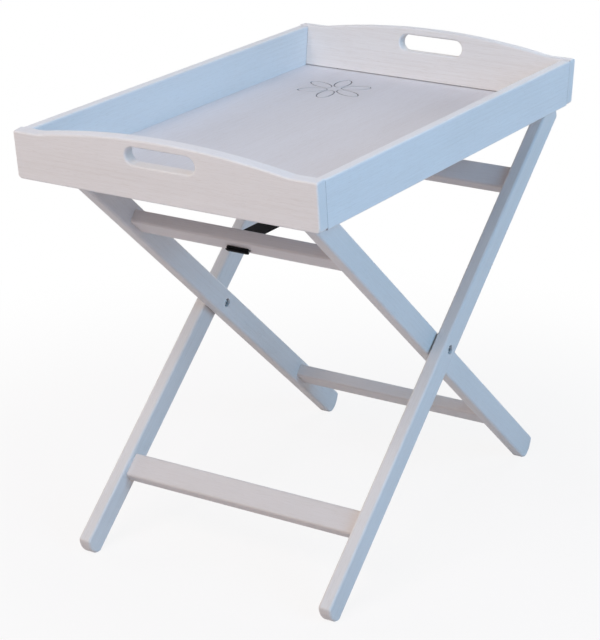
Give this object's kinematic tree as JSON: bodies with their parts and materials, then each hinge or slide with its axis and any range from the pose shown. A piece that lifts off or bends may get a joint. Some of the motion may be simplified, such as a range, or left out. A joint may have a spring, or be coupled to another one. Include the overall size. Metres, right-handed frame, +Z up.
{
  "type": "tray table",
  "caption": "Butler's tray table: a loose wooden tray with arched end boards and hand holes on a folding cross-leg stand held open by a webbing strap.",
  "frame": {"origin": "on the floor, under the middle of the tray", "axes": "+Z up, X along the tray with -X the near end in the picture, Y across it with +Y the left side"},
  "size_m": [0.6024, 0.377, 0.534],
  "materials": {
    "whitewashed_wood": "white-washed, open grain, matt",
    "tray_panel": "white-washed plywood, matt",
    "dowel_wood": "bare beech",
    "pivot_steel": "blue zinc plate",
    "pin_steel": "bright drawn wire",
    "nylon": "moulded, dark",
    "webbing": "woven black webbing"
  },
  "bodies": {
    "inner_frame": {"inner_leg_left": "whitewashed_wood", "inner_leg_right": "whitewashed_wood", "inner_top_bar": "whitewashed_wood", "inner_bottom_bar": "whitewashed_wood", "inner_top_bar_dowels": "dowel_wood", "inner_bottom_bar_dowels": "dowel_wood", "strap": "webbing"},
    "outer_frame": {"outer_leg_left": "whitewashed_wood", "outer_leg_right": "whitewashed_wood", "outer_top_bar": "whitewashed_wood", "outer_bottom_bar": "whitewashed_wood", "outer_top_bar_dowels": "dowel_wood", "outer_bottom_bar_dowels": "dowel_wood", "pivot_bolt_left": "pivot_steel", "pivot_bolt_right": "pivot_steel", "pivot_sleeve_nut_left": "pivot_steel", "pivot_sleeve_nut_right": "pivot_steel", "pivot_washer_left": "nylon", "pivot_washer_right": "nylon"},
    "tray": {"tray_end_near": "whitewashed_wood", "tray_end_far": "whitewashed_wood", "tray_side_left": "whitewashed_wood", "tray_side_right": "whitewashed_wood", "tray_bottom_panel": "tray_panel", "tray_corner_dowels": "dowel_wood", "tray_panel_pins": "pin_steel"}
  },
  "joints": [
    {"name": "stand_fold", "type": "hinge", "parent": "inner_frame", "child": "outer_frame", "pos_m": [0.0275, 0, 0.23272], "axis": [0, -1, 0], "range_deg": [0, 92], "deforming": ["strap"]},
    {"name": "tray_lift", "type": "slide", "parent": "inner_frame", "child": "tray", "axis": [0, 0, 1], "range_m": [0, 0.482]}
  ],
  "couplings": [
    {"joint": "tray_lift", "follows": "stand_fold", "m_per_rad": 0.3}
  ]
}
